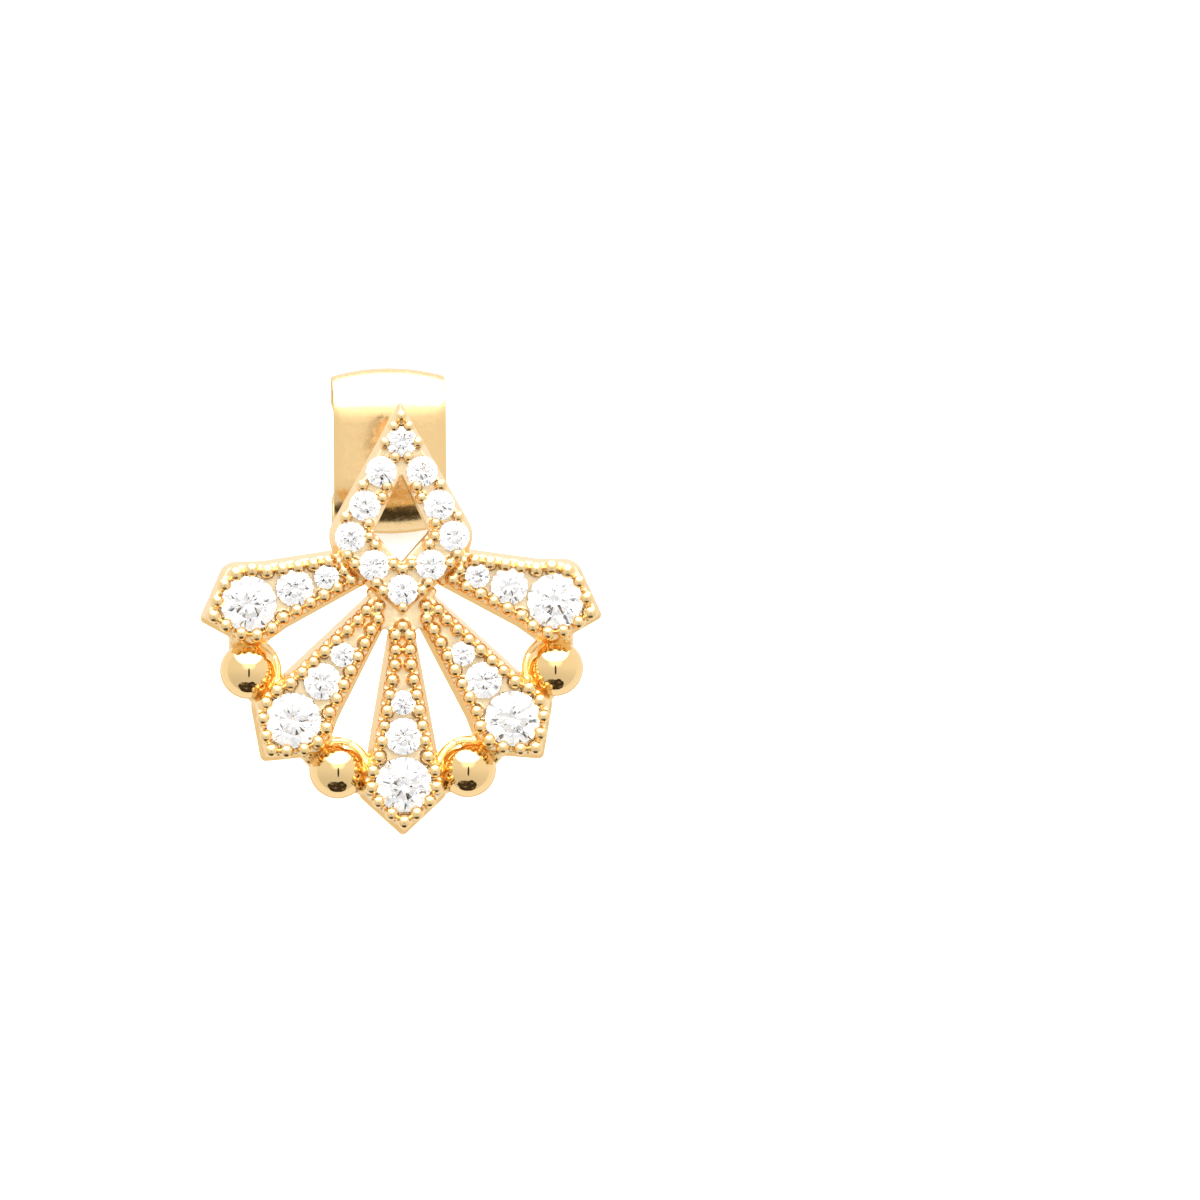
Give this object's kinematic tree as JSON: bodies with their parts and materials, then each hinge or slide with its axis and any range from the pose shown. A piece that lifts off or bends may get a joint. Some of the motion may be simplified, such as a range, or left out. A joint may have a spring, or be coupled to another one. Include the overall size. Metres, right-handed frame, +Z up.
{
  "type": "fan stud earring with butterfly back",
  "caption": "Fan-shaped stud earring: pierced kite over fanned blades, set with round clear stones between beads, polished balls, straight post and sliding butterfly back.",
  "frame": {"origin": "centre of the bounding box in plan, on the surface that the earring rests on", "axes": "+Z up, -Y the side that the fan's face looks towards, +X to the right of someone who looks at the face"},
  "size_m": [0.0128, 0.0178, 0.0104],
  "materials": {
    "cast_gold": "polished gold plating on cast brass",
    "spring_gold": "polished gold plating on rolled brass strip",
    "stone": "clear cut and polished"
  },
  "bodies": {
    "fan": {"fan_setting": "cast_gold", "kite_stone_1": "stone", "kite_stone_2": "stone", "kite_stone_3": "stone", "kite_stone_4": "stone", "kite_stone_5": "stone", "kite_stone_6": "stone", "kite_stone_7": "stone", "kite_stone_8": "stone", "kite_stone_9": "stone", "kite_stone_10": "stone", "large_stone_1": "stone", "large_stone_2": "stone", "large_stone_3": "stone", "large_stone_4": "stone", "large_stone_5": "stone", "medium_stone_1": "stone", "medium_stone_2": "stone", "medium_stone_3": "stone", "medium_stone_4": "stone", "medium_stone_5": "stone", "small_stone_1": "stone", "small_stone_2": "stone", "small_stone_3": "stone", "small_stone_4": "stone", "small_stone_5": "stone"},
    "butterfly": {"butterfly_back": "spring_gold"}
  },
  "joints": [
    {"name": "butterfly_slide", "type": "slide", "parent": "fan", "child": "butterfly", "axis": [0, 0.6772, -0.7358], "range_m": [-0.006, 0.008]}
  ]
}
